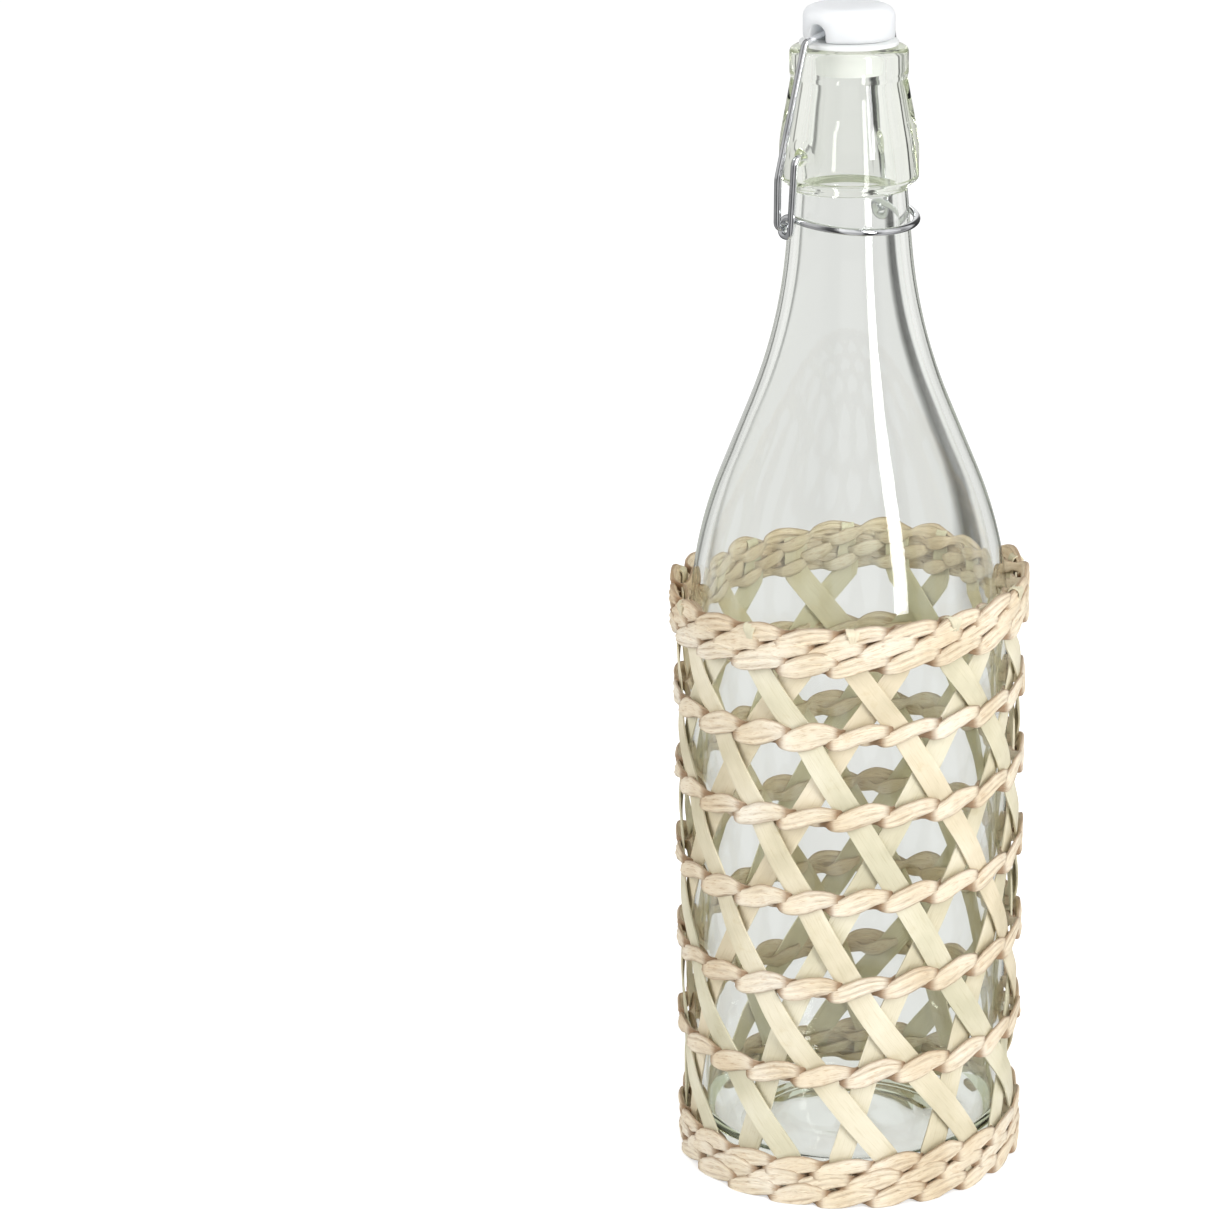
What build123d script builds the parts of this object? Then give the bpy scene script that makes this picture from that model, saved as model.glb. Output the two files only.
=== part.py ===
from build123d import *
import math
import os

# A clear glass swing-top bottle in an open-weave straw sleeve.
# Millimetres, +Z up. The origin is the middle of the glass base, the lever's pivot runs along X
# and the lever's thumb ring faces -Y.

# Glass
bottle_height = 300.0
body_radius = 42.0
glass_wall = 2.8
base_thickness = 5.0
heel_radius = 7.0
inner_heel_radius = 9.0
punt_radius = 30.0
punt_depth = 3.0
shoulder_depth = 130.8
shoulder_round = 113.0
neck_foot_depth = 72.1
neck_foot_radius = 17.9
neck_sweep = 136.0
neck_radius = 14.9

# Glass collar and lip, with depths measured down from the lip's top as those of the shoulder and neck are
collar_foot_depth = 33.4
collar_undercut = 2.4
collar_radius = 17.8
collar_edge = 1.2
collar_swell_depth = 28.0
collar_middle_depth = 16.5
collar_middle_radius = 16.9
waist_depth = 7.8
waist_radius = 14.7
lip_radius = 15.1
lip_edge = 1.5
lip_neck_edge = 0.5
lip_step = 1.2
bore_radius = 9.6
bore_edge = 0.8
bore_length = 12.0

# Pivot pits in the collar
pivot_depth = 26.2
pit_pad_depth = 0.5
pit_pad_radius = 4.6
pit_mouth_radius = 2.2
pit_angle = 100.0
pit_depth = 2.9

# Wires
wire_radius = 0.95
running_gap = 0.08
pin_reach = 2.3
leg_offset = 1.75
elbow_radius = 1.9
crank_drop = 18.0
crank_set_back = 4.1
eye_radius = 2.35
eye_round_share = 0.95
turn_step = 2.2
ring_fall_angle = 7.0

# Bail
cross_rise = 3.9
cross_half_length = 8.5
shoulder_reach = 15.7
shoulder_drop = 1.5
shoulder_bend = 1.8
bail_knee_drop = 5.3
bail_knee_reach = 22.6
bail_knee_bend = 8.0
bail_foot_gap = 0.4
hook_bend = 1.8
hook_overhang = 0.4

# Stopper and gasket
seat_gap = 0.4
gasket_radius = 12.6
gasket_rim = 1.0
gasket_thickness = 1.5
gasket_skirt_radius = 8.8
gasket_skirt_depth = 2.2
cap_radius = 11.7
cap_crown = 6.5
cap_top_edge = 2.9
cap_foot_edge = 1.0
pocket_radius = 2.8
web_half_width = 5.5
stem_radius = 5.4
plug_radius = 7.9
plug_nose_radius = 6.2
plug_depth = 6.0
plug_edge = 0.9
fit_gap = 0.1

# Straw sleeve
strip_count = 10
strip_width = 6.0
strip_thickness = 0.45
strand_thickness = 0.9
weave_gap = 0.08
glass_gap = 0.15
weave_turn = -171.0
plateau_share = 0.35
sleeve_height = 159.4
row_height_shares = (0.235, 0.389, 0.540, 0.684, 0.822)
row_half_height = 2.0
row_bulge = 4.4
band_rows = 3
foot_row_pitch = 4.1
foot_clearance = 0.4
foot_bulge = 3.9
rim_row_pitch = 3.5
rim_bulge = 3.3
rim_strand_thickness = 2.2

cut_over = 1.0

# Worked out from the sizes above
crossing_angle = 360.0 / (2 * strip_count)
plateau_angle = plateau_share * crossing_angle
shoulder_foot = bottle_height - shoulder_depth
neck_foot = bottle_height - neck_foot_depth
collar_foot = bottle_height - collar_foot_depth
collar_swell = bottle_height - collar_swell_depth
collar_middle = bottle_height - collar_middle_depth
waist_height = bottle_height - waist_depth
pivot_height = bottle_height - pivot_depth
cross_height = bottle_height + cross_rise
cap_top_height = cross_height + cap_crown
bail_knee_height = pivot_height - bail_knee_drop
collar_inner_radius = neck_radius - glass_wall
pad_face = collar_radius - pit_pad_depth
pin_end = pad_face - pin_reach
leg_reach = collar_radius + leg_offset
ring_reach = leg_reach - turn_step
eye_height = pivot_height - crank_drop
ring_fall = math.tan(math.radians(ring_fall_angle))
gasket_foot = bottle_height + seat_gap
gasket_top = gasket_foot + gasket_thickness
cap_foot = gasket_top + fit_gap


def export_piece(builder, name):
    builder.part.label = name
    export_step(builder.part, f"parts/{name}.step")


def nearest_corner(sketch, radius, height):
    return sketch.vertices().sort_by_distance((radius, height))[0]


os.makedirs("parts", exist_ok=True)

# Glass bottle: one turned profile, hollowed by a second one that follows it a wall further in
with BuildPart() as glass_bottle:
    with BuildSketch(Plane.XZ) as outside:
        with BuildLine():
            ThreePointArc(
                (0, punt_depth),
                (punt_radius / 2, punt_depth * 3 / 4),
                (punt_radius, 0),
            )
            Polyline(
                (punt_radius, 0),
                (body_radius, 0),
                (body_radius, shoulder_foot),
                (neck_foot_radius, neck_foot),
                (neck_radius, collar_foot - collar_undercut),
                (collar_radius, collar_foot),
                (collar_radius, collar_swell),
            )
            ThreePointArc(
                (collar_radius, collar_swell),
                (collar_middle_radius, collar_middle),
                (waist_radius, waist_height),
            )
            Polyline(
                (waist_radius, waist_height),
                (lip_radius, waist_height + lip_step),
                (lip_radius, bottle_height),
                (0, bottle_height),
                (0, punt_depth),
            )
        make_face()
        fillet(nearest_corner(outside, body_radius, 0), heel_radius)
        fillet(nearest_corner(outside, body_radius, shoulder_foot), shoulder_round)
        fillet(nearest_corner(outside, neck_foot_radius, neck_foot), neck_sweep)
        fillet(nearest_corner(outside, neck_radius, collar_foot - collar_undercut), collar_edge)
        fillet(nearest_corner(outside, collar_radius, collar_foot), collar_edge)
        fillet(nearest_corner(outside, lip_radius, waist_height + lip_step), lip_neck_edge)
        fillet(nearest_corner(outside, lip_radius, bottle_height), lip_edge)
    revolve(axis=Axis.Z)
    with BuildSketch(Plane.XZ) as inside:
        floor_height = base_thickness + punt_depth
        with BuildLine():
            Polyline(
                (0, floor_height),
                (punt_radius / 2, floor_height),
                (body_radius - glass_wall, base_thickness),
                (body_radius - glass_wall, shoulder_foot),
                (neck_foot_radius - glass_wall, neck_foot),
                (collar_inner_radius, collar_foot),
                (bore_radius, bottle_height - bore_length),
                (bore_radius, bottle_height - bore_edge),
                (bore_radius + bore_edge, bottle_height),
                (bore_radius + bore_edge, bottle_height + cut_over),
                (0, bottle_height + cut_over),
                (0, floor_height),
            )
        make_face()
        fillet(nearest_corner(inside, body_radius - glass_wall, base_thickness), inner_heel_radius)
        fillet(nearest_corner(inside, body_radius - glass_wall, shoulder_foot), shoulder_round)
        fillet(nearest_corner(inside, neck_foot_radius - glass_wall, neck_foot), neck_sweep)
    revolve(axis=Axis.Z, mode=Mode.SUBTRACT)
    # An arch-shaped flat pad round each pivot pit, open at the collar's lower edge
    for side in (-1, 1):
        with BuildSketch(Plane(origin=(side * pad_face, 0, pivot_height), x_dir=(0, side, 0), z_dir=(side, 0, 0))):
            Circle(pit_pad_radius)
            with Locations((0, -pit_pad_radius)):
                Rectangle(2 * pit_pad_radius, 2 * pit_pad_radius)
        extrude(amount=pit_pad_depth + cut_over, mode=Mode.SUBTRACT)
        with Locations(Plane(origin=(side * pad_face, 0, pivot_height), z_dir=(side, 0, 0))):
            CounterSinkHole(
                radius=wire_radius + running_gap,
                counter_sink_radius=pit_mouth_radius,
                counter_sink_angle=pit_angle,
                depth=pit_depth,
            )
export_piece(glass_bottle, "glass_bottle")

# Lever wire: half of it runs from the pit down the leg, round the eye and along the thumb ring
ring_height = eye_height + eye_radius - (crank_set_back + eye_radius) * ring_fall
ring_share = math.sqrt(0.5)
ring_cos = math.cos(math.radians(ring_fall_angle))
ring_sin = math.sin(math.radians(ring_fall_angle))
with BuildPart() as lever_wire:
    with BuildLine() as lever_path:
        FilletPolyline(
            (pin_end, 0, pivot_height),
            (leg_reach, 0, pivot_height),
            (leg_reach, crank_set_back - eye_radius, eye_height - eye_radius),
            (leg_reach - turn_step / 2, crank_set_back + eye_radius, eye_height - eye_radius),
            (ring_reach, crank_set_back + eye_radius, eye_height + eye_radius),
            (ring_reach, 0, ring_height),
            radius=[elbow_radius] + 3 * [eye_round_share * eye_radius],
        )
        ThreePointArc(
            (ring_reach, 0, ring_height),
            (
                ring_reach * ring_share,
                -ring_reach * ring_share * ring_cos,
                ring_height - ring_reach * ring_share * ring_sin,
            ),
            (0, -ring_reach * ring_cos, ring_height - ring_reach * ring_sin),
        )
    with BuildSketch(Plane(origin=(pin_end, 0, pivot_height), z_dir=(1, 0, 0))):
        Circle(wire_radius)
    sweep(path=lever_path.wires()[0])
    mirror(about=Plane.YZ)
export_piece(lever_wire, "lever_wire")

# Bail wire: from the stopper's cross-hole over the shoulder, down the leg and into the lever's eye
bail_foot_reach = leg_reach + 2 * wire_radius + bail_foot_gap
knee_share = (cross_height - bail_knee_height) / (cross_height - eye_height)
hook_end = ring_reach - wire_radius - hook_overhang
with BuildPart() as bail_wire:
    with BuildLine() as bail_path:
        FilletPolyline(
            (0, 0, cross_height),
            (cross_half_length, 0, cross_height),
            (shoulder_reach, 0, cross_height - shoulder_drop),
            (bail_knee_reach, crank_set_back * knee_share, bail_knee_height),
            (bail_foot_reach, crank_set_back, eye_height),
            (hook_end, crank_set_back, eye_height),
            radius=[shoulder_bend, shoulder_bend, bail_knee_bend, hook_bend],
        )
    with BuildSketch(Plane(origin=(0, 0, cross_height), z_dir=(1, 0, 0))):
        Circle(wire_radius)
    sweep(path=bail_path.wires()[0])
    mirror(about=Plane.YZ)
export_piece(bail_wire, "bail_wire")

# Stopper: a rounded cap with an arch-shaped pocket each side of its cross-hole, a stem and a plug
with BuildPart() as stopper:
    with BuildSketch(Plane.XZ) as stopper_outline:
        plug_top = gasket_foot - gasket_skirt_depth - fit_gap
        plug_foot = bottle_height - plug_depth
        with BuildLine():
            Polyline(
                (0, plug_foot),
                (plug_nose_radius, plug_foot),
                (plug_radius, plug_top),
                (stem_radius, plug_top),
                (stem_radius, cap_foot),
                (cap_radius, cap_foot),
                (cap_radius, cap_top_height),
                (0, cap_top_height),
                (0, plug_foot),
            )
        make_face()
        fillet(nearest_corner(stopper_outline, plug_nose_radius, plug_foot), plug_edge)
        fillet(nearest_corner(stopper_outline, cap_radius, cap_foot), cap_foot_edge)
        fillet(nearest_corner(stopper_outline, cap_radius, cap_top_height), cap_top_edge)
    revolve(axis=Axis.Z)
    for side in (-1, 1):
        with BuildSketch(
            Plane(origin=(side * web_half_width, 0, cross_height), x_dir=(0, side, 0), z_dir=(side, 0, 0))
        ):
            Circle(pocket_radius)
            with Locations((0, -pocket_radius)):
                Rectangle(2 * pocket_radius, 2 * pocket_radius)
        pocket_cut = extrude(amount=cap_radius, mode=Mode.PRIVATE)
        with BuildSketch(Plane.XY.offset(cap_foot)):
            Circle(cap_radius + cut_over)
        cap_space = extrude(amount=cap_top_height - cap_foot, mode=Mode.PRIVATE)
        add(pocket_cut & cap_space, mode=Mode.SUBTRACT)
    with BuildSketch(Plane.YZ.offset(-web_half_width - cut_over)):
        with Locations((0, cross_height)):
            Circle(wire_radius + running_gap)
    extrude(amount=2 * (web_half_width + cut_over), mode=Mode.SUBTRACT)
export_piece(stopper, "stopper")

# Gasket: a washer with a rounded rim and a short conical skirt, stretched over the stopper's stem
with BuildPart() as gasket:
    with BuildSketch(Plane.XZ) as gasket_outline:
        gasket_bore = stem_radius + fit_gap
        with BuildLine():
            Polyline(
                (gasket_bore, gasket_foot - gasket_skirt_depth),
                (plug_radius, gasket_foot - gasket_skirt_depth),
                (gasket_skirt_radius, gasket_foot),
                (gasket_radius, gasket_foot),
                (gasket_radius, gasket_foot + gasket_rim),
                (cap_radius - cap_foot_edge, gasket_top),
                (gasket_bore, gasket_top),
                (gasket_bore, gasket_foot - gasket_skirt_depth),
            )
        make_face()
        fillet(nearest_corner(gasket_outline, gasket_radius, gasket_foot), gasket_rim / 3)
        fillet(nearest_corner(gasket_outline, gasket_radius, gasket_foot + gasket_rim), gasket_rim / 3)
    revolve(axis=Axis.Z)
export_piece(gasket, "gasket")

# Straw sleeve. Seen from above, each layer lies outside the one before: glass, back strand,
# strips leaning one way, strips leaning the other way, front strand. A flat facet dips inside
# its corners' circle, so each layer's corners stand out by the share that its facet dips.
half_strip_angle = math.degrees(strip_width / 2 / body_radius)
lean_run = math.radians(crossing_angle) * body_radius
lean_pitch = sleeve_height * (row_height_shares[-1] - row_height_shares[-2])
lean_stretch = math.hypot(lean_run, lean_pitch) / lean_pitch
lean_half_angle = half_strip_angle * lean_stretch
back_dip = math.cos(math.radians(plateau_angle))
strip_dip = math.cos(math.radians(lean_half_angle)) * math.cos(math.radians(crossing_angle / 4))
front_dip = math.cos(math.radians(plateau_angle / 2))
back_inner = (body_radius + glass_gap) / back_dip
back_outer = back_inner + strand_thickness
under_inner = (back_outer + weave_gap) / strip_dip
under_outer = under_inner + strip_thickness
over_inner = (under_outer + weave_gap) / strip_dip
over_outer = over_inner + strip_thickness
front_inner = (over_outer + weave_gap) / front_dip


def twined_ring(half_height, bulge, front_thickness):
    """A closed strand that passes in front of every second strip and behind the others."""
    end_width = half_height - weave_gap
    swing = (half_height + weave_gap) / 2
    back_middle = back_inner + strand_thickness / 2
    front_middle = front_inner + front_thickness / 2
    # angle from a front crossing, radius, height, width, thickness
    stations = (
        (0, front_middle, 0, bulge, front_thickness),
        (plateau_angle, front_middle, swing, end_width, front_thickness),
        (crossing_angle - plateau_angle, back_middle, swing, end_width, strand_thickness),
        (crossing_angle + plateau_angle, back_middle, -swing, end_width, strand_thickness),
        (2 * crossing_angle - plateau_angle, front_middle, -swing, end_width, front_thickness),
    )
    with BuildPart() as half_ring:
        for period in range(strip_count // 2 + 1):
            for angle, radius, height, width, thickness in stations:
                turn = period * 2 * crossing_angle + angle
                if turn > 180:
                    break
                out = Vector(1, 0, 0).rotate(Axis.Z, turn)
                along = Vector(0, 1, 0).rotate(Axis.Z, turn)
                place = Plane(origin=out * radius + Vector(0, 0, height), x_dir=out, z_dir=along)
                with BuildSketch(place):
                    Rectangle(thickness, width)
        loft(ruled=True)
    with BuildPart() as ring:
        add(half_ring.part)
        add(half_ring.part, rotation=(0, 0, 180))
    return ring.part


def export_twined_row(name, ring, height):
    for strand_index, strand_name in enumerate(("a", "b")):
        turn = weave_turn + strand_index * crossing_angle
        with BuildPart() as strand:
            with Locations(Location((0, 0, height), (0, 0, turn))):
                add(ring)
        export_piece(strand, f"{name}_strand_{strand_name}")


foot_half_height = foot_row_pitch / 2 - weave_gap
rim_half_height = rim_row_pitch / 2 - weave_gap
foot_ring = twined_ring(foot_half_height, foot_bulge, strand_thickness)
row_ring = twined_ring(row_half_height, row_bulge, strand_thickness)
rim_ring = twined_ring(rim_half_height, rim_bulge, rim_strand_thickness)

for row in range(band_rows):
    foot_height = foot_clearance + foot_row_pitch * (row + 0.5)
    export_twined_row(f"foot_row_{row + 1}", foot_ring, foot_height)
    rim_height = sleeve_height - rim_row_pitch * (band_rows - row - 0.5)
    export_twined_row(f"rim_row_{row + 1}", rim_ring, rim_height)
for row, share in enumerate(row_height_shares):
    export_twined_row(f"middle_row_{row + 1}", row_ring, share * sleeve_height)

# Strips stand upright in the foot band and the rim band, and lean one crossing a row between them
foot_band_top = foot_clearance + foot_row_pitch * band_rows
rim_band_foot = sleeve_height - rim_row_pitch * band_rows
row_heights = [share * sleeve_height for share in row_height_shares]
lean_heights = [foot_band_top] + row_heights + [rim_band_foot]
strip_stations = [(foot_clearance, 0, half_strip_angle)]
for step, (low, high) in enumerate(zip(lean_heights, lean_heights[1:])):
    strip_stations.append((low, step * crossing_angle, lean_half_angle if step else half_strip_angle))
    strip_stations.append(((low + high) / 2, (step + 0.5) * crossing_angle, lean_half_angle))
strip_stations.append((rim_band_foot, (len(lean_heights) - 1) * crossing_angle, half_strip_angle))
strip_stations.append((sleeve_height, (len(lean_heights) - 1) * crossing_angle, half_strip_angle))


def export_strips(name, inner_radius, rim_angle, lean):
    rim_turn = strip_stations[-1][1]
    for strip_index in range(strip_count):
        strip_angle = rim_angle + strip_index * 2 * crossing_angle
        with BuildPart() as strip:
            for height, turn, half_angle in strip_stations:
                middle = strip_angle + lean * (rim_turn - turn)
                corners = [
                    Vector(radius, 0).rotate(Axis.Z, middle + side * half_angle)
                    for radius, side in (
                        (inner_radius, -1),
                        (inner_radius + strip_thickness, -1),
                        (inner_radius + strip_thickness, 1),
                        (inner_radius, 1),
                    )
                ]
                with BuildSketch(Plane.XY.offset(height)):
                    with BuildLine():
                        Polyline(*[(corner.X, corner.Y) for corner in corners], close=True)
                    make_face()
            loft(ruled=True)
        export_piece(strip, f"{name}_{strip_index + 1:02d}")


export_strips("over_strip", over_inner, weave_turn, 1)
export_strips("under_strip", under_inner, weave_turn + crossing_angle, -1)
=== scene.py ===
import bpy
import math
import random
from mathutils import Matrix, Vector, noise


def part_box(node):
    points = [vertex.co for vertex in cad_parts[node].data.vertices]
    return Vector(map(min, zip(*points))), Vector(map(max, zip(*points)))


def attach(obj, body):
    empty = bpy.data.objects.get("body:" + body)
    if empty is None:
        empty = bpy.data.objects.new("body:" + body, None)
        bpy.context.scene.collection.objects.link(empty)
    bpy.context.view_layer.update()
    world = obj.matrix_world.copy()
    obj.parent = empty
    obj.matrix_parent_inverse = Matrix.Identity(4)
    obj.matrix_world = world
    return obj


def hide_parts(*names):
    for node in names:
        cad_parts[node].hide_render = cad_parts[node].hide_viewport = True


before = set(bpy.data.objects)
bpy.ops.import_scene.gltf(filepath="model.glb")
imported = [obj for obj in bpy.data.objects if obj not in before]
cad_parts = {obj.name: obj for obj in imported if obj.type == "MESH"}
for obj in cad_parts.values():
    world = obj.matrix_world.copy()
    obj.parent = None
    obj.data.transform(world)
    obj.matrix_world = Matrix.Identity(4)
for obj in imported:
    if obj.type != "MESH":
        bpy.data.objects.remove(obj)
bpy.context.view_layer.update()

# A clear swing-top bottle in an open-weave straw sleeve. Metres and degrees.
# The lever's thumb ring faces -Y, and the pivot runs along X.

random.seed(21)
bpy.ops.object.select_all(action="DESELECT")

photo = {
    "azimuth": -46.0,     # where the camera stands, round from -Y
    "pitch": 17.5,
    "distance": 1.0271,
    "aimHeight": 0.1509,
    "lens": 115.1,
    "sensor": 36.0,
    "shiftX": -0.196,
}
frontAngle = photo["azimuth"] - 90   # polar angle of the side that faces the camera


def smoothStep(low, high, value):
    t = min(max((value - low) / (high - low), 0.0), 1.0)
    return t * t * (3 - 2 * t)


def blend(a, b, t):
    return a + (b - a) * t


def polar(radius, angle, height):
    a = math.radians(angle)
    return Vector((radius * math.cos(a), radius * math.sin(a), height))


def selectOnly(obj):
    bpy.ops.object.select_all(action="DESELECT")
    obj.select_set(True)
    bpy.context.view_layer.objects.active = obj


def cleanMesh(obj, merge=1e-6):
    # merge what meets, then turn every face outwards
    selectOnly(obj)
    bpy.ops.object.mode_set(mode="EDIT")
    bpy.ops.mesh.select_all(action="SELECT")
    bpy.ops.mesh.remove_doubles(threshold=merge)
    bpy.ops.mesh.normals_make_consistent(inside=False)
    bpy.ops.object.mode_set(mode="OBJECT")


def applyModifiers(obj):
    selectOnly(obj)
    for modifier in list(obj.modifiers):
        bpy.ops.object.modifier_apply(modifier=modifier.name)


def smoothShade(obj, angle=40):
    selectOnly(obj)
    bpy.ops.object.shade_smooth_by_angle(angle=math.radians(angle))


def dress(obj, name, material, body, replaced):
    obj.name = name
    obj.data.name = name
    obj.data.materials.clear()
    obj.data.materials.append(material)
    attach(obj, body)
    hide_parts(replaced)


# Materials
def newMaterial(name):
    material = bpy.data.materials.new(name)
    material.use_nodes = True
    nodes = material.node_tree.nodes
    nodes.clear()
    output = nodes.new("ShaderNodeOutputMaterial")
    shader = nodes.new("ShaderNodeBsdfPrincipled")
    material.node_tree.links.new(shader.outputs["BSDF"], output.inputs["Surface"])
    return material, nodes, material.node_tree.links, shader, output


def mappedNoise(nodes, links, source, scale, noiseScale, detail=4.0, roughness=0.55):
    mapping = nodes.new("ShaderNodeMapping")
    mapping.inputs["Scale"].default_value = scale
    links.new(source, mapping.inputs["Vector"])
    texture = nodes.new("ShaderNodeTexNoise")
    texture.inputs["Scale"].default_value = noiseScale
    texture.inputs["Detail"].default_value = detail
    texture.inputs["Roughness"].default_value = roughness
    links.new(mapping.outputs["Vector"], texture.inputs["Vector"])
    return texture.outputs["Fac"]


def colourRamp(nodes, links, source, stops):
    ramp = nodes.new("ShaderNodeValToRGB")
    while len(ramp.color_ramp.elements) < len(stops):
        ramp.color_ramp.elements.new(0.5)
    for element, (position, colour) in zip(ramp.color_ramp.elements, stops):
        element.position = position
        element.color = (*colour, 1)
    links.new(source, ramp.inputs["Fac"])
    return ramp.outputs["Color"]


def mixColour(nodes, links, kind, factor, first, second):
    mix = nodes.new("ShaderNodeMix")
    mix.data_type = "RGBA"
    mix.blend_type = kind
    for socket, value in ((mix.inputs[0], factor), (mix.inputs[6], first), (mix.inputs[7], second)):
        if isinstance(value, (int, float)):
            socket.default_value = value
        elif isinstance(value, tuple):
            socket.default_value = (*value, 1)
        else:
            links.new(value, socket)
    return mix.outputs[2]


def mathNode(nodes, links, kind, first, second):
    node = nodes.new("ShaderNodeMath")
    node.operation = kind
    for socket, value in zip(node.inputs, (first, second)):
        if isinstance(value, (int, float)):
            socket.default_value = value
        else:
            links.new(value, socket)
    return node.outputs[0]


def bumpFrom(nodes, links, height, distance, strength, below=None):
    bump = nodes.new("ShaderNodeBump")
    bump.inputs["Distance"].default_value = distance
    bump.inputs["Strength"].default_value = strength
    links.new(height, bump.inputs["Height"])
    if below is not None:
        links.new(below, bump.inputs["Normal"])
    return bump.outputs["Normal"]


def roughnessFrom(nodes, links, source, spread, shader):
    # a pattern moves the roughness between two values
    reach = nodes.new("ShaderNodeMapRange")
    reach.inputs["To Min"].default_value, reach.inputs["To Max"].default_value = spread
    links.new(source, reach.inputs["Value"])
    links.new(reach.outputs["Result"], shader.inputs["Roughness"])


def cloudColour(nodes, links, source, colours):
    return colourRamp(nodes, links, source, tuple(zip((0.3, 0.7), colours)))


glassLook = {
    "colour": (0.985, 0.992, 0.985),
    "ior": 1.5,
    "rippleStretch": (1, 1, 0.45),     # ripples run up the wall
    "rippleScale": 38,
    "rippleHeight": 0.0012,
    "rippleStrength": 0.10,
    "shadow": (0.95, 0.95, 0.94),
    "tint": (0.60, 0.66, 0.32),        # greenish where the glass is thick
    "tintDensity": 12.0,
    "trappedDepth": 5.5,               # past this many turns light counts as trapped in the wall
}


def clearGlassMaterial():
    look = glassLook
    material, nodes, links, shader, output = newMaterial("clearGlass")
    shader.inputs["Base Color"].default_value = (*look["colour"], 1)
    shader.inputs["Roughness"].default_value = 0.0
    shader.inputs["IOR"].default_value = look["ior"]
    shader.inputs["Transmission Weight"].default_value = 1.0
    place = nodes.new("ShaderNodeTexCoord")
    solid = place.outputs["Object"]
    ripple = mappedNoise(nodes, links, solid, look["rippleStretch"], look["rippleScale"], 2)
    rippled = bumpFrom(nodes, links, ripple, look["rippleHeight"], look["rippleStrength"])
    links.new(rippled, shader.inputs["Normal"])
    # light on its way to other pieces passes as it would through thin glass
    clear = nodes.new("ShaderNodeBsdfTransparent")
    clear.inputs["Color"].default_value = (*look["shadow"], 1)
    path = nodes.new("ShaderNodeLightPath")
    shadow, diffuse = path.outputs["Is Shadow Ray"], path.outputs["Is Diffuse Ray"]
    either = mathNode(nodes, links, "MAXIMUM", shadow, diffuse)
    trapped = mathNode(nodes, links, "GREATER_THAN", path.outputs["Ray Depth"], look["trappedDepth"])
    either = mathNode(nodes, links, "MAXIMUM", either, trapped)
    mix = nodes.new("ShaderNodeMixShader")
    links.new(either, mix.inputs["Fac"])
    links.new(shader.outputs["BSDF"], mix.inputs[1])
    links.new(clear.outputs["BSDF"], mix.inputs[2])
    links.new(mix.outputs["Shader"], output.inputs["Surface"])
    tint = nodes.new("ShaderNodeVolumeAbsorption")
    tint.inputs["Color"].default_value = (*look["tint"], 1)
    tint.inputs["Density"].default_value = look["tintDensity"]
    links.new(tint.outputs["Volume"], output.inputs["Volume"])
    return material


steelLook = {
    "colours": ((0.66, 0.67, 0.69), (0.88, 0.89, 0.90)),
    "patchScale": 160,
    "drawnStretch": (1, 1, 0.2),       # drawing marks
    "drawnScale": 900,
    "drawnHeight": 0.00005,
    "drawnStrength": 0.4,
    "roughness": (0.06, 0.15),
}


def steelWireMaterial():
    look = steelLook
    material, nodes, links, shader, output = newMaterial("steelWire")
    shader.inputs["Metallic"].default_value = 1.0
    place = nodes.new("ShaderNodeTexCoord")
    drawn = mappedNoise(nodes, links, place.outputs["Object"], look["drawnStretch"], look["drawnScale"], 3)
    patches = mappedNoise(nodes, links, place.outputs["Object"], (1, 1, 1), look["patchScale"], 3)
    links.new(cloudColour(nodes, links, patches, look["colours"]), shader.inputs["Base Color"])
    roughnessFrom(nodes, links, drawn, look["roughness"], shader)
    marks = bumpFrom(nodes, links, drawn, look["drawnHeight"], look["drawnStrength"])
    links.new(marks, shader.inputs["Normal"])
    return material


plasticLook = {
    "colours": ((0.75, 0.77, 0.79), (0.78, 0.80, 0.82)),
    "cloudScale": 120,
    "ior": 1.5,
    "milkiness": 1.0,
    "milkDepth": 0.008,
    "grainScale": 1500,
    "grainHeight": 0.00004,
    "grainStrength": 0.3,
    "roughness": (0.30, 0.42),
}


def milkyPlasticMaterial():
    look = plasticLook
    material, nodes, links, shader, output = newMaterial("milkyPlastic")
    place = nodes.new("ShaderNodeTexCoord")
    cloud = mappedNoise(nodes, links, place.outputs["Object"], (1, 1, 1), look["cloudScale"], 3)
    links.new(cloudColour(nodes, links, cloud, look["colours"]), shader.inputs["Base Color"])
    shader.inputs["Subsurface Weight"].default_value = look["milkiness"]
    shader.inputs["Subsurface Radius"].default_value = (1.0, 1.0, 1.0)
    shader.inputs["Subsurface Scale"].default_value = look["milkDepth"]
    shader.inputs["IOR"].default_value = look["ior"]
    fine = mappedNoise(nodes, links, place.outputs["Object"], (1, 1, 1), look["grainScale"], 2)
    roughnessFrom(nodes, links, fine, look["roughness"], shader)
    grain = bumpFrom(nodes, links, fine, look["grainHeight"], look["grainStrength"])
    links.new(grain, shader.inputs["Normal"])
    return material


rubberLook = {
    "colours": ((0.90, 0.92, 0.91), (0.95, 0.96, 0.95)),
    "cloudScale": 220,
    "ior": 1.42,
    "clearness": 0.15,
    "roughness": (0.35, 0.5),
}


def gasketMaterial():
    look = rubberLook
    material, nodes, links, shader, output = newMaterial("gasketRubber")
    place = nodes.new("ShaderNodeTexCoord")
    cloud = mappedNoise(nodes, links, place.outputs["Object"], (1, 1, 1), look["cloudScale"], 3)
    links.new(cloudColour(nodes, links, cloud, look["colours"]), shader.inputs["Base Color"])
    shader.inputs["Transmission Weight"].default_value = look["clearness"]
    shader.inputs["IOR"].default_value = look["ior"]
    roughnessFrom(nodes, links, cloud, look["roughness"], shader)
    return material


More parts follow.
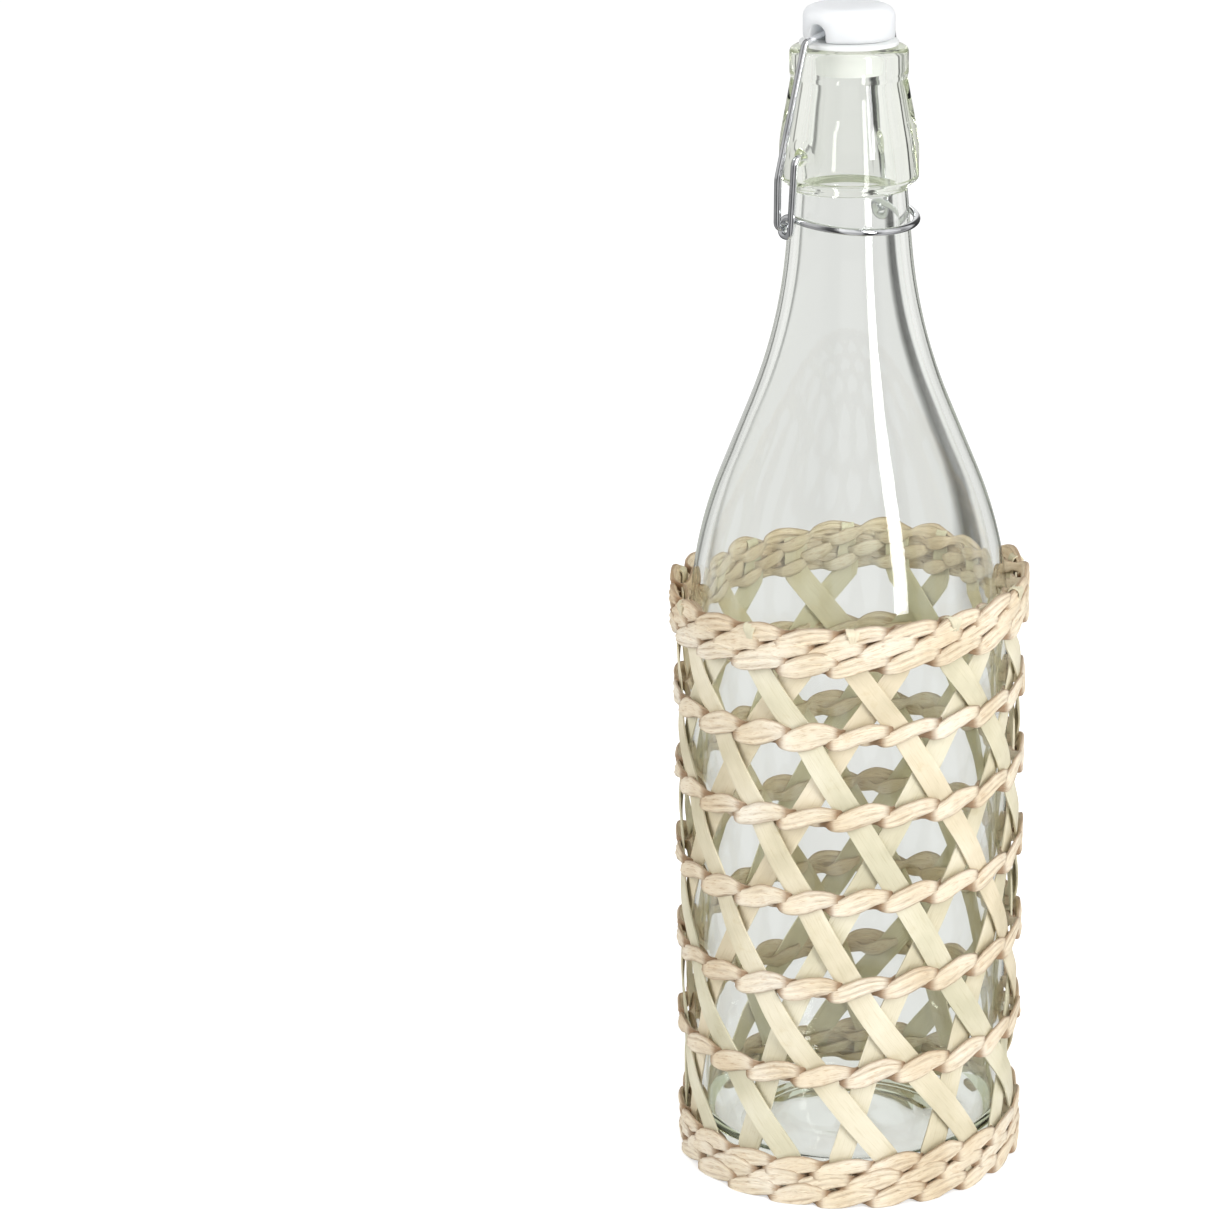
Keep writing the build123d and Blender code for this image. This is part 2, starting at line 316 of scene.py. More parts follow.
# Straw: tones are dark, middle and pale, and the colours after them multiply the tone.
# the shade colour is painted shade for ends that dive under a neighbour, for edges, inner sides and
# creases; fibres for the scale along and across the piece's UV map
palmLook = {
    "tones": ((0.58, 0.55, 0.39), (0.69, 0.65, 0.48), (0.77, 0.73, 0.57)),
    "otherTones": ((0.62, 0.54, 0.37), (0.74, 0.65, 0.47), (0.82, 0.74, 0.57)),
    "paintedShadeColour": (0.62, 0.52, 0.36),
    "vein": (0.82, 0.79, 0.68),
    "knots": (0.86, 0.80, 0.66),
    "fibres": (26, 22),
    "bump": 0.00012,
}
rushLook = {
    "tones": ((0.79, 0.67, 0.48), (0.89, 0.79, 0.61), (0.94, 0.87, 0.73)),
    "otherTones": ((0.76, 0.61, 0.41), (0.86, 0.74, 0.55), (0.93, 0.83, 0.67)),
    "paintedShadeColour": (0.32, 0.19, 0.10),
    "vein": (0.62, 0.45, 0.29),
    "knots": (0.76, 0.60, 0.42),
    "fibres": (90, 40),
    "bump": 0.00045,
}
strawLook = {
    "patchScale": 46,
    "toneStops": (0.34, 0.5, 0.66),
    "stainScale": 150,
    "stainStretch": (1, 1, 1.6),
    "hairFineness": (1.6, 3.2),        # hairs against fibres, along and across
    "veinShare": 0.75,
    "hairShare": 0.45,
    "stainShare": 0.6,
    "sheen": 0.05,
    "roughness": (0.42, 0.66),
    "fibreStrength": 0.7,
    "hairBumpShare": 0.4,
    "hairStrength": 0.6,
}


def strawMaterial(name, look):
    straw = strawLook
    white = (1, 1, 1)
    material, nodes, links, shader, output = newMaterial(name)
    place = nodes.new("ShaderNodeTexCoord")
    along, across = look["fibres"]
    hairAlong, hairAcross = straw["hairFineness"]
    hairScale = (along * hairAlong, across * hairAcross, 1)
    fibres = mappedNoise(nodes, links, place.outputs["UV"], (along, across, 1), 1.0, 5, 0.6)
    fine = mappedNoise(nodes, links, place.outputs["UV"], hairScale, 1.0, 3, 0.7)
    solid = place.outputs["Object"]
    patches = mappedNoise(nodes, links, solid, (1, 1, 1), straw["patchScale"], 3)
    stain = mappedNoise(nodes, links, solid, straw["stainStretch"], straw["stainScale"], 4, 0.7)
    ground = colourRamp(nodes, links, patches, tuple(zip(straw["toneStops"], look["tones"])))
    other = colourRamp(nodes, links, patches, tuple(zip(straw["toneStops"], look["otherTones"])))
    tone = nodes.new("ShaderNodeAttribute")
    tone.attribute_name = "tone"
    ground = mixColour(nodes, links, "MIX", tone.outputs["Fac"], ground, other)
    streaks = colourRamp(nodes, links, fibres, ((0.30, look["vein"]), (0.47, white), (1.0, white)))
    streaked = mixColour(nodes, links, "MULTIPLY", straw["veinShare"], ground, streaks)
    hairs = colourRamp(nodes, links, fine, ((0.30, look["vein"]), (0.42, white), (1.0, white)))
    streaked = mixColour(nodes, links, "MULTIPLY", straw["hairShare"], streaked, hairs)
    spots = colourRamp(nodes, links, stain, ((0.24, look["knots"]), (0.40, white), (1.0, white)))
    spotted = mixColour(nodes, links, "MULTIPLY", straw["stainShare"], streaked, spots)
    # painted shade: the inner side, the edges, the creases and the ends that dive under a neighbour are
    # darkened as if shadowed
    paintedShade = nodes.new("ShaderNodeAttribute")
    paintedShade.attribute_name = "paintedShade"
    # painted shade colour: the straw's colour multiplied down as if in shadow
    deep = mixColour(nodes, links, "MULTIPLY", 1.0, spotted, look["paintedShadeColour"])
    shaded = mixColour(nodes, links, "MIX", paintedShade.outputs["Fac"], spotted, deep)
    links.new(shaded, shader.inputs["Base Color"])
    shader.inputs["Sheen Weight"].default_value = straw["sheen"]
    roughnessFrom(nodes, links, fine, straw["roughness"], shader)
    coarse = bumpFrom(nodes, links, fibres, look["bump"], straw["fibreStrength"])
    hairHeight = look["bump"] * straw["hairBumpShare"]
    rough = bumpFrom(nodes, links, fine, hairHeight, straw["hairStrength"], coarse)
    links.new(rough, shader.inputs["Normal"])
    return material


clearGlass = clearGlassMaterial()
steelWire = steelWireMaterial()
milkyPlastic = milkyPlasticMaterial()
gasketRubber = gasketMaterial()
palmStrip = strawMaterial("palmStrip", palmLook)
twinedRush = strawMaterial("twinedRush", rushLook)
print("materials made")


# Outlines for turned pieces: each corner has a radius, nought for a sharp one
def roundedOutline(corners, steps=8):
    points = []
    for index, (x, z, radius) in enumerate(corners):
        here = Vector((x, z))
        if radius == 0 or index in (0, len(corners) - 1):
            points.append(here)
            continue
        before = (Vector(corners[index - 1][:2]) - here).normalized()
        after = (Vector(corners[index + 1][:2]) - here).normalized()
        half = before.angle(after) / 2
        reach = radius / math.tan(half)
        centre = here + (before + after).normalized() * (radius / math.sin(half))
        start = here + before * reach - centre
        end = here + after * reach - centre
        sweep = start.angle(end)
        for step in range(steps + 1):
            t = step / steps
            mixed = (start * math.sin((1 - t) * sweep) + end * math.sin(t * sweep)) / math.sin(sweep)
            points.append(centre + mixed)
    return points


def turnedPiece(points, segments):
    # draw the outline in edit mode from one vertex, then spin it round Z
    bpy.ops.mesh.primitive_plane_add(size=0.001, location=(0, 0, 0))
    obj = bpy.context.object
    bpy.ops.object.mode_set(mode="EDIT")
    bpy.ops.mesh.select_all(action="SELECT")
    bpy.ops.mesh.merge(type="CENTER")
    bpy.ops.transform.translate(value=(points[0].x, 0, points[0].y))
    for before, after in zip(points, points[1:]):
        step = (after.x - before.x, 0, after.y - before.y)
        bpy.ops.mesh.extrude_region_move(TRANSFORM_OT_translate={"value": step})
    bpy.ops.mesh.select_all(action="SELECT")
    bpy.ops.mesh.spin(steps=segments, angle=math.tau, center=(0, 0, 0), axis=(0, 0, 1))
    bpy.ops.object.mode_set(mode="OBJECT")
    cleanMesh(obj, 2e-6)
    return obj


# Glass bottle
bottle = {
    "height": 0.300,
    "bodyRadius": 0.042,
    "wall": 0.0028,
    "base": 0.005,
    "heel": 0.007,
    "innerHeel": 0.009,
    "puntRadius": 0.030,
    "puntDepth": 0.003,
    "puntTop": 0.55,           # share of the punt's radius where it begins to fall
    "puntRound": 0.04,
    "standEdge": 0.0015,
    "floorRound": 0.05,
    "shoulderFoot": 0.1692,
    "shoulderRound": 0.113,
    "neckFoot": 0.2279,
    "neckFootRadius": 0.0179,
    "neckSweep": 0.136,
    "neckRadius": 0.0149,
    "collarFoot": 0.2666,
    "collarUndercut": 0.0024,
    "collarRadius": 0.0178,
    "collarEdge": 0.0012,
    "collarSwell": 0.276,
    "collarRound": 0.030,
    "waist": 0.2922,
    "waistRadius": 0.0148,
    "lipRadius": 0.0151,
    "lipEdge": 0.0015,
    "lipStep": 0.0012,
    "boreRadius": 0.0096,
    "boreLength": 0.012,
    "boreEdge": 0.0008,
    "boreRound": 0.03,
    "collarInnerRound": 0.06,
    "pitHeight": 0.2738,
    "pitRadius": 0.0022,
    "pitBore": 0.00103,
    "pitDepth": 0.0029,
    "pitTip": 0.9,             # share of the bore at the pit's bottom
    "pitFlare": 0.0003,
    "padDepth": 0.0005,
    "padRadius": 0.0046,
    "padCutter": 0.004,
    "padCutterFoot": 0.00401,
    "wave": 0.00010,
    "waveSpread": (22, 9),     # round the bottle and up it
    "waveShares": (1.6, 0.25), # of the inner face and of the outer one
    "waveKeepOff": 0.008,      # no wave this close to the axis
    "floorWave": 0.0005,
    "floorWaveSpread": 75,
    "floorZone": (0.001, 0.006),
    "arcSteps": 12,
    "ringGap": 0.006,
    "segments": 144,
}


def bottleOutline(b):
    inner = b["bodyRadius"] - b["wall"]
    floorHeight = b["base"] + b["puntDepth"]
    outside = roundedOutline(
        (
            (0, b["puntDepth"], 0),
            (b["puntRadius"] * b["puntTop"], b["puntDepth"], b["puntRound"]),
            (b["puntRadius"], 0, b["standEdge"]),
            (b["bodyRadius"], 0, b["heel"]),
            (b["bodyRadius"], b["shoulderFoot"], b["shoulderRound"]),
            (b["neckFootRadius"], b["neckFoot"], b["neckSweep"]),
            (b["neckRadius"], b["collarFoot"] - b["collarUndercut"], b["collarEdge"]),
            (b["collarRadius"], b["collarFoot"], b["collarEdge"]),
            (b["collarRadius"], b["collarSwell"], b["collarRound"]),
            (b["waistRadius"], b["waist"], b["lipStep"] / 2),
            (b["lipRadius"], b["waist"] + b["lipStep"], b["lipStep"] / 2),
            (b["lipRadius"], b["height"], b["lipEdge"]),
            (b["boreRadius"], b["height"], b["boreEdge"]),
        ),
        b["arcSteps"],
    )[:-1]
    inside = roundedOutline(
        (
            (b["lipRadius"], b["height"], 0),
            (b["boreRadius"], b["height"], b["boreEdge"]),
            (b["boreRadius"], b["height"] - b["boreLength"], b["boreRound"]),
            (b["neckRadius"] - b["wall"], b["collarFoot"], b["collarInnerRound"]),
            (b["neckFootRadius"] - b["wall"], b["neckFoot"], b["neckSweep"]),
            (inner, b["shoulderFoot"], b["shoulderRound"]),
            (inner, b["base"], b["innerHeel"]),
            (b["puntRadius"] / 2, floorHeight, b["floorRound"]),
            (0, floorHeight, 0),
        ),
        b["arcSteps"],
    )[1:]
    # straight runs get rings of their own, so that the wall can carry its slow moulded waves
    points = [outside[0]]
    for point in outside[1:] + inside:
        run = (point - points[-1]).length
        start = points[-1].copy()
        pieces = max(1, int(run / b["ringGap"]))
        for piece in range(1, pieces + 1):
            points.append(start.lerp(point, piece / pieces))
    return points


def cutBottlePits(obj, b):
    # an arch-shaped flat pad each side, then the countersunk pit in its middle
    face = b["collarRadius"] - b["padDepth"]
    for side in (-1, 1):
        cutters = []
        bpy.ops.mesh.primitive_cylinder_add(
            vertices=48,
            radius=b["padRadius"],
            depth=b["padCutter"],
            location=(side * (face + b["padCutter"] / 2), 0, b["pitHeight"]),
            rotation=(0, math.pi / 2, 0),
        )
        cutters.append(bpy.context.object)
        bpy.ops.mesh.primitive_cube_add(
            size=1,
            location=(side * (face + b["padCutter"] / 2), 0, b["pitHeight"] - b["padRadius"]),
            scale=(b["padCutterFoot"], 2 * b["padRadius"], 2 * b["padRadius"]),
        )
        cutters.append(bpy.context.object)
        bpy.ops.mesh.primitive_cone_add(
            vertices=40,
            radius1=b["pitBore"] * b["pitTip"],
            radius2=b["pitRadius"] + b["pitFlare"],
            depth=b["pitDepth"],
            location=(side * (face - b["pitDepth"] / 2 + b["pitFlare"]), 0, b["pitHeight"]),
            rotation=(0, side * math.pi / 2, 0),
        )
        cutters.append(bpy.context.object)
        for cutter in cutters:
            cut = obj.modifiers.new("pit", "BOOLEAN")
            cut.operation = "DIFFERENCE"
            cut.solver = "EXACT"
            cut.object = cutter
            applyModifiers(obj)
        for cutter in cutters:
            bpy.data.objects.remove(cutter)


def makeBottle():
    b = bottle
    obj = turnedPiece(bottleOutline(b), b["segments"])
    # slow waves in the blown wall: the inner face wanders, the outer one hardly does
    facingUp = 0.7
    floorLow = b["puntDepth"] + b["floorZone"][0]
    floorHigh = b["base"] + b["floorZone"][1]
    spread = b["floorWaveSpread"]
    roundSpread, upSpread = b["waveSpread"]
    insideShare, outsideShare = b["waveShares"]
    normals = [vertex.normal.copy() for vertex in obj.data.vertices]
    for vertex, normal in zip(obj.data.vertices, normals):
        point = vertex.co
        radius = math.hypot(point.x, point.y)
        if normal.z > facingUp and floorLow < point.z < floorHigh:
            vertex.co.z += b["floorWave"] * noise.noise(Vector((point.x * spread, point.y * spread, 4)))
        if radius < b["waveKeepOff"] or point.z < b["base"] or point.z > b["collarFoot"]:
            continue
        inside = normal.x * point.x + normal.y * point.y < 0
        drift = noise.noise(Vector((point.x * roundSpread, point.y * roundSpread, point.z * upSpread)))
        push = b["wave"] * drift * (insideShare if inside else outsideShare)
        vertex.co.x += point.x / radius * push
        vertex.co.y += point.y / radius * push
    cutBottlePits(obj, b)
    cleanMesh(obj, 1e-6)
    smoothShade(obj, 38)
    dress(obj, "glassBottleWall", clearGlass, "bottle", "glass_bottle")
    return obj


makeBottle()
print("bottle made")


# Closure: the imported wires and stopper keep their shape and get new materials; the gasket is rebuilt
# below
def finishNode(node, material):
    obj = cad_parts[node]
    for materialSlot in obj.material_slots:
        materialSlot.material = material


finishNode("lever_wire", steelWire)
finishNode("bail_wire", steelWire)
finishNode("stopper", milkyPlastic)

# Gasket: the skirt fills the mouth as a milky band, and covers the plug
gasket = {
    "foot": 0.3004,
    "bore": 0.0055,
    "flange": 0.0126,
    "rim": 0.0010,
    "thickness": 0.0015,
    "crown": 0.0107,
    "skirt": 0.0089,
    "skirtNose": 0.0084,
    "skirtDepth": 0.0070,
    "skirtRoot": 0.0003,
    "skirtEdge": 0.0002,
    "innerDepth": 0.0021,
    "plugClear": 0.0080,
    "edge": 0.0003,
    "arcSteps": 5,
    "segments": 96,
}


def makeGasket():
    g = gasket
    top = g["foot"] + g["thickness"]
    points = roundedOutline(
        (
            (g["plugClear"], g["foot"] - g["skirtDepth"], 0),
            (g["skirtNose"], g["foot"] - g["skirtDepth"], 0),
            (g["skirt"], g["foot"] - g["skirtRoot"], g["skirtEdge"]),
            (g["flange"], g["foot"], g["edge"]),
            (g["flange"], g["foot"] + g["rim"], g["edge"]),
            (g["crown"], top, g["edge"]),
            (g["bore"], top, 0),
            (g["bore"], g["foot"] - g["innerDepth"], 0),
            (g["plugClear"], g["foot"] - g["innerDepth"], 0),
            (g["plugClear"], g["foot"] - g["skirtDepth"], 0),
        ),
        g["arcSteps"],
    )
    obj = turnedPiece(points, g["segments"])
    smoothShade(obj, 40)
    dress(obj, "gasketSkirted", gasketRubber, "closure", "gasket")


makeGasket()
print("closure finished")

# Straw sleeve. Angles are counted in the plain weave first, then wrapped on to the bottle
sleeve = {
    "stripCount": 10,
    "weaveTurn": -171.0,
    "squeeze": 4.0,            # the strips stand closer together on the camera's side
    "squeezeCentre": 5.0,
    "footTwist": 13.0,         # the whole weave is wrung a little towards the foot
    "twistHeight": 0.062,
    "rowTilt": 0.0017,         # rows climb to the right of the camera's side
    "rowLift": 0.0012,
    "tiltHeight": 0.03,        # the foot rows stay level, and all above this height tilt
    "rowRipple": 0.0007,
    "rippleSpread": (2.2, 60), # round the row and from row to row
    "footBandTop": 0.002,      # past the middle of the last row of each band
    "rimBandFoot": 0.0017,
}
crossing = 180 / sleeve["stripCount"]


def rowHeight(node):
    low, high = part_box(node)
    return (low[2] + high[2]) / 2


footHeights = [rowHeight(f"foot_row_{n}_strand_a") for n in (1, 2, 3)]
middleHeights = [rowHeight(f"middle_row_{n}_strand_a") for n in (1, 2, 3, 4, 5)]
rimHeights = [rowHeight(f"rim_row_{n}_strand_a") for n in (1, 2, 3)]
footTop = footHeights[-1] + sleeve["footBandTop"]
rimFoot = rimHeights[0] - sleeve["rimBandFoot"]
leanHeights = [footTop] + middleHeights + [rimFoot]


def wrapAngle(angle, height):
    view = math.radians(angle - frontAngle - sleeve["squeezeCentre"])
    twist = sleeve["footTwist"] * (1 - smoothStep(0, sleeve["twistHeight"], height))
    return angle + twist - sleeve["squeeze"] * math.sin(view)


def rowRise(angle, height):
    # how far a row stands above its level height at a wrapped angle
    view = math.radians(angle - frontAngle)
    share = smoothStep(0, sleeve["tiltHeight"], height)
    tilt = sleeve["rowTilt"] * math.sin(view) + sleeve["rowLift"] * (1 - math.cos(view)) / 2
    spread, rowSpread = sleeve["rippleSpread"]
    place = Vector((math.cos(view) * spread, math.sin(view) * spread, height * rowSpread))
    return share * tilt + sleeve["rowRipple"] * noise.noise(place)


def leanTurn(height):
    # crossings passed on the way up: none in the foot band, one a row, all of them at the rim
    for step, (low, high) in enumerate(zip(leanHeights, leanHeights[1:])):
        if height < low:
            return float(step)
        if height < high:
            return step + (height - low) / (high - low)
    return float(len(leanHeights) - 1)


def gridBlank(name, along, around):
    # a flat grid with its own UV map, rolled or bent afterwards
    bpy.ops.mesh.primitive_grid_add(x_subdivisions=along, y_subdivisions=around, size=1, calc_uvs=True)
    obj = bpy.context.object
    obj.name = name
    return obj


# A rush lap runs from tip to tip over one strip. Widths, climb and thickness are in metres.
# shifts tell how far each stacked row is moved along, in laps
lapShapes = {
    "middle": {
        "width": 0.0061, "end": 0.0021, "climb": 0.00138, "frontRadius": 0.0458, "thickness": 0.0012,
        "shifts": (0.0,),
    },
    "foot": {
        "width": 0.0058, "end": 0.0020, "climb": 0.00120, "frontRadius": 0.0458, "thickness": 0.0013,
        "shifts": (0.0, 0.5, 0.06),
    },
    "rim": {
        "width": 0.0056, "end": 0.0020, "climb": 0.00120, "frontRadius": 0.0463, "thickness": 0.0018,
        "shifts": (0.0, 0.5, 0.06),
    },
}
rush = {
    "steps": 340,
    "sides": 28,
    "backRadius": 0.04275,
    "backThickness": 0.0010,
    "endThickness": 0.0014,
    "overlapTurn": 0.40,       # a lap's middle lies this far past its strip
    "overlap": 0.50,           # and its tips pass those of its neighbours
    "dive": 4.0,               # how steeply it goes from front to back
    "lapTurn": 2.12,           # from a lap's middle to its tip
    "tipPower": 1.9,           # higher makes a blunter tip
    "backSwell": 0.6,
    "widthSpread": 0.40,       # laps differ in width by this share
    "wander": 0.12,
    "wanderSpread": 11,
    "sectionPower": 0.75,      # under 1 the section is flat rather than round
    "folds": (8.5, 0.13),      # creases across the strand, and their share of its thickness
    "fineFolds": (21, 0.08),
    "foldKeep": 0.35,          # share of a crease that is left at the tips and at the back
    "fibre": 0.06,
    "fibreSpread": (30, 11),
    "tilt": 0.20,
    "roll": 0.16,
    "lapDrift": 1.2,           # degrees
    "smoothAngle": 60,
}
# where the painted shade of ends that dive under a neighbour, of edges, inner sides and cracks begins and
# is full, and how dark it is
rushPaintedShade = {
    "tip": (0.64, 0.90),
    "tipEnd": (1.1, 1.3),
    "tipSide": (-0.5, 0.4),
    "tipDark": 0.85,
    "edge": (0.82, 1.0),
    "edgeDark": 0.62,
    "inner": (0.1, -0.6),
    "innerDark": 0.12,
    "crack": (0.15, 0.35),
    "crackDark": 0.55,
}


def crease(turn):
    # a wave with sharp tops and bottoms
    return math.asin(math.sin(turn)) * 2 / math.pi


def alongLap(late):
    # nought in a lap's middle, 1 at its tips, more behind the strips, and how wide it is there
    turn = abs((late + math.pi) % math.tau - math.pi)
    leaf = turn / rush["lapTurn"]
    if leaf < 1:
        return leaf, 1 - leaf ** rush["tipPower"]
    behind = (math.pi - turn) / (math.pi - rush["lapTurn"])
    return leaf, rush["backSwell"] * (1 - behind * behind)


# painted shade for a rush strand: dark where its ends dive under a neighbour, at its edges, on its inner
# side and in its creases
def lapPaintedShade(leaf, across, depth, folds):
    look = rushPaintedShade
    tip = smoothStep(*look["tip"], leaf) * (1 - smoothStep(*look["tipEnd"], leaf))
    tip *= smoothStep(*look["tipSide"], depth)
    edge = smoothStep(*look["edge"], abs(across))
    inner = smoothStep(*look["inner"], depth)
    deepest, begin = look["crack"]
    crack = max(0.0, -folds / deepest - begin)
    return max(
        tip * look["tipDark"],
        edge * look["edgeDark"],
        inner * look["innerDark"],
        crack * look["crackDark"],
    )


def strandPoint(u, v, level, shape, shift, seed):
    # u runs along the strand, v round it
    phase = math.pi * (360 * u / crossing + shift)
    late = phase - rush["overlapTurn"]
    front = 0.5 + 0.5 * math.tanh(rush["dive"] * (math.cos(late) + rush["overlap"]))
    leaf, swell = alongLap(late)
    lapNumber = math.floor(late / math.tau + 0.5) % sleeve["stripCount"]
    lap = noise.noise(Vector((lapNumber * 3.7 + seed, shift, seed))) * (swell if leaf < 1 else 0)
    ringX, ringY = math.cos(math.tau * u), math.sin(math.tau * u)
    spread = rush["wanderSpread"]
    wander = noise.noise(Vector((ringX * spread, ringY * spread, seed * 1.7 + shift)))
    radius = blend(rush["backRadius"], shape["frontRadius"], front)
    width = blend(shape["end"], shape["width"] * (1 + rush["widthSpread"] * lap), swell)
    width *= 1 + rush["wander"] * wander
    thickness = blend(rush["endThickness"], blend(rush["backThickness"], shape["thickness"], front), swell)
    across = math.sin(math.tau * v)
    depth = math.cos(math.tau * v)
    # flattened rush: folded edges and lengthwise creases that gather where the strand turns under
    (count, share), (fineCount, fineShare) = rush["folds"], rush["fineFolds"]
    folds = crease(count * across + seed + 3.0 * lap) * share
    folds += crease(fineCount * across + seed * 2 + 2 * wander) * fineShare
    keep = rush["foldKeep"]
    folds *= (keep + (1 - keep) * swell) * (keep + (1 - keep) * front)
    spread, acrossSpread = rush["fibreSpread"]
    fibre = noise.noise(Vector((ringX * spread, ringY * spread, acrossSpread * across + seed)))
    reach = math.copysign(abs(depth) ** rush["sectionPower"], depth) * thickness / 2
    reach += (folds + rush["fibre"] * fibre) * thickness
    reach += (rush["tilt"] * lap + rush["roll"] * math.sin(phase)) * across * width / 2
    height = level + math.sin(phase) * shape["climb"] + across * width / 2
    wrapped = wrapAngle(sleeve["weaveTurn"] + 360 * u + rush["lapDrift"] * lap, level)
    point = polar(radius + reach, wrapped, height + rowRise(wrapped, level))
    point.z = max(point.z, 0.0)   # pressed flat where the sleeve stands
    return point, lapPaintedShade(leaf, across, depth, folds)


def writeShade(obj, name, values):
    attribute = obj.data.attributes.new(name, "FLOAT", "POINT")
    attribute.data.foreach_set("value", values)


def makeStrand(row, strand, level, kind):
    seed = random.uniform(0, 40)
    name = f"{kind}Row{row}Strand{strand.upper()}"
    obj = gridBlank(name, rush["steps"], rush["sides"])
    shape = lapShapes[kind]
    shift = shape["shifts"][(row - 1) % len(shape["shifts"])] + (0 if strand == "a" else 1)
    paintedShades = []
    for vertex in obj.data.vertices:
        u, v = vertex.co.x + 0.5, vertex.co.y + 0.5
        vertex.co, paintedShade = strandPoint(u, v, level, shape, shift, seed)
        paintedShades.append(paintedShade)
    # the painted shade goes on the strand as a point attribute
    writeShade(obj, "paintedShade", paintedShades)
    writeShade(obj, "tone", [random.random()] * len(paintedShades))
    cleanMesh(obj, 1e-6)
    smoothShade(obj, rush["smoothAngle"])
    dress(obj, name, twinedRush, "bottle", f"{kind}_row_{row}_strand_{strand}")


for strand in ("a", "b"):
    for row, level in enumerate(footHeights, 1):
        makeStrand(row, strand, level, "foot")
    for row, level in enumerate(middleHeights, 1):
        makeStrand(row, strand, level, "middle")
    for row, level in enumerate(rimHeights, 1):
        makeStrand(row, strand, level, "rim")
print("twined rows made")


strip = {
    "steps": 170,
    "sides": 8,
    "width": 0.0064,
    "thickness": 0.00045,
    "overRadius": 0.0446,
    "underRadius": 0.0438,
    "overBow": 0.0007,         # the outer strips stand off between the rows
    "widthSpread": (0.9, 1.12),
    "angleSpread": 0.8,
    "footStart": 0.0015,       # below the middle of the lowest row
    "overTop": 0.0010,         # above the middle of the highest row
    "underTop": 0.0012,
    "foldRadius": 0.0015,      # outer strips turn over the rim and tuck in outside
    "foldTail": 0.0020,
    "foldLean": 0.25,
    "foldWidth": 0.0036,
    "foldNarrow": (0.008, 0.001),
    "tailSpread": (0.7, 1.2),
    "tailTip": 0.0035,
    "tailTaper": 0.55,
    "wander": 0.10,
    "cup": 9.0,                # edges curl towards the glass
    "ridgeCount": 19,
    "ridge": 0.00006,
    "grain": 0.00012,
    "roll": 0.10,
    "edgeRound": 0.00012,
    "foldStep": 0.0002,        # the run's direction is read this far ahead and behind
    "runStep": 0.0004,
    "smoothAngle": 50,
}


def stripCentre(height, startAngle, lean, radius, bow):
    turn = leanTurn(height)
    angle = startAngle + lean * crossing * (len(leanHeights) - 1 - turn)
    between = math.sin(math.pi * turn) ** 2
    return polar(radius + bow * between, wrapAngle(angle, height), height)


def foldOver(start, outward, run):
    # up and over the rim, then down outside it, where run is the length past the fold's start
    r = strip["foldRadius"]
    bend = math.pi * r
    if run < bend:
        turn = run / r
        return start + outward * (r - r * math.cos(turn)) + Vector((0, 0, r * math.sin(turn)))
    down = run - bend
    return start + outward * (2 * r - strip["foldLean"] * down) - Vector((0, 0, down))


def shapeStrip(obj, family, rimAngle, lean, radius, bow, seed, widthScale):
    low = footHeights[0] - strip["footStart"]
    high = rimHeights[-1] + strip[f"{family}Top"]
    straight = high - low + rowRise(wrapAngle(rimAngle, high), high)
    tail = math.pi * strip["foldRadius"] + strip["foldTail"] * random.uniform(*strip["tailSpread"])
    total = straight + (tail if family == "over" else 0)
    narrowFrom, narrowTo = strip["foldNarrow"]
    for vertex in obj.data.vertices:
        u, v = vertex.co.x + 0.5, vertex.co.y
        run = u * total
        height = low + min(run, straight)
        here = stripCentre(height, rimAngle, lean, radius, bow)
        outward = Vector((here.x, here.y, 0)).normalized()
        wander = noise.noise(Vector((u * 7 + seed, seed, 0)))
        width = strip["width"] * widthScale * (1 + strip["wander"] * wander)
        if run > straight:
            past = run - straight
            ahead = foldOver(here, outward, past + strip["foldStep"])
            behind = foldOver(here, outward, past - strip["foldStep"])
            here = foldOver(here, outward, past)
            across = outward.cross(Vector((0, 0, 1)))
        else:
            ahead = stripCentre(height + strip["runStep"], rimAngle, lean, radius, bow)
            behind = stripCentre(height - strip["runStep"], rimAngle, lean, radius, bow)
            across = outward.cross((ahead - behind).normalized()).normalized()
        normal = (ahead - behind).normalized().cross(across)
        if family == "over":
            narrowed = smoothStep(straight - narrowFrom, straight + narrowTo, run)
            width = blend(width, strip["foldWidth"], narrowed)
            width *= 1 - strip["tailTaper"] * smoothStep(total - strip["tailTip"], total, run)
        offset = v * width
        curl = -strip["cup"] * offset * offset
        ridge = strip["ridge"] * math.sin(v * strip["ridgeCount"] + seed)
        ridge += strip["grain"] * noise.noise(Vector((u * 30, v * 2, seed)))
        roll = strip["roll"] * noise.noise(Vector((u * 5, seed, 3)))
        vertex.co = here + across * offset + normal * (curl + ridge + roll * offset)


def makeStrip(number, family, lean, radius, bow):
    seed = random.uniform(0, 40)
    widthScale = random.uniform(*strip["widthSpread"])
    rimAngle = sleeve["weaveTurn"] + (number - 1) * 2 * crossing + (0 if lean > 0 else crossing)
    rimAngle += random.uniform(-strip["angleSpread"], strip["angleSpread"])
    name = f"{family}Strip{number:02d}"
    obj = gridBlank(name, strip["steps"], strip["sides"])
    shapeStrip(obj, family, rimAngle, lean, radius, bow, seed, widthScale)
    thick = obj.modifiers.new("thickness", "SOLIDIFY")
    thick.thickness = strip["thickness"]
    thick.offset = 0
    edge = obj.modifiers.new("edge", "BEVEL")
    edge.width = strip["edgeRound"]
    edge.segments = 2
    edge.limit_method = "ANGLE"
    applyModifiers(obj)
    count = len(obj.data.vertices)
    writeShade(obj, "tone", [random.random()] * count)
    # strips carry no painted shade
    writeShade(obj, "paintedShade", [0.0] * count)
    smoothShade(obj, strip["smoothAngle"])
    dress(obj, name, palmStrip, "bottle", f"{family}_strip_{number:02d}")


for number in range(1, sleeve["stripCount"] + 1):
    makeStrip(number, "over", 1, strip["overRadius"], strip["overBow"])
    makeStrip(number, "under", -1, strip["underRadius"], 0.0)
print("strips made")


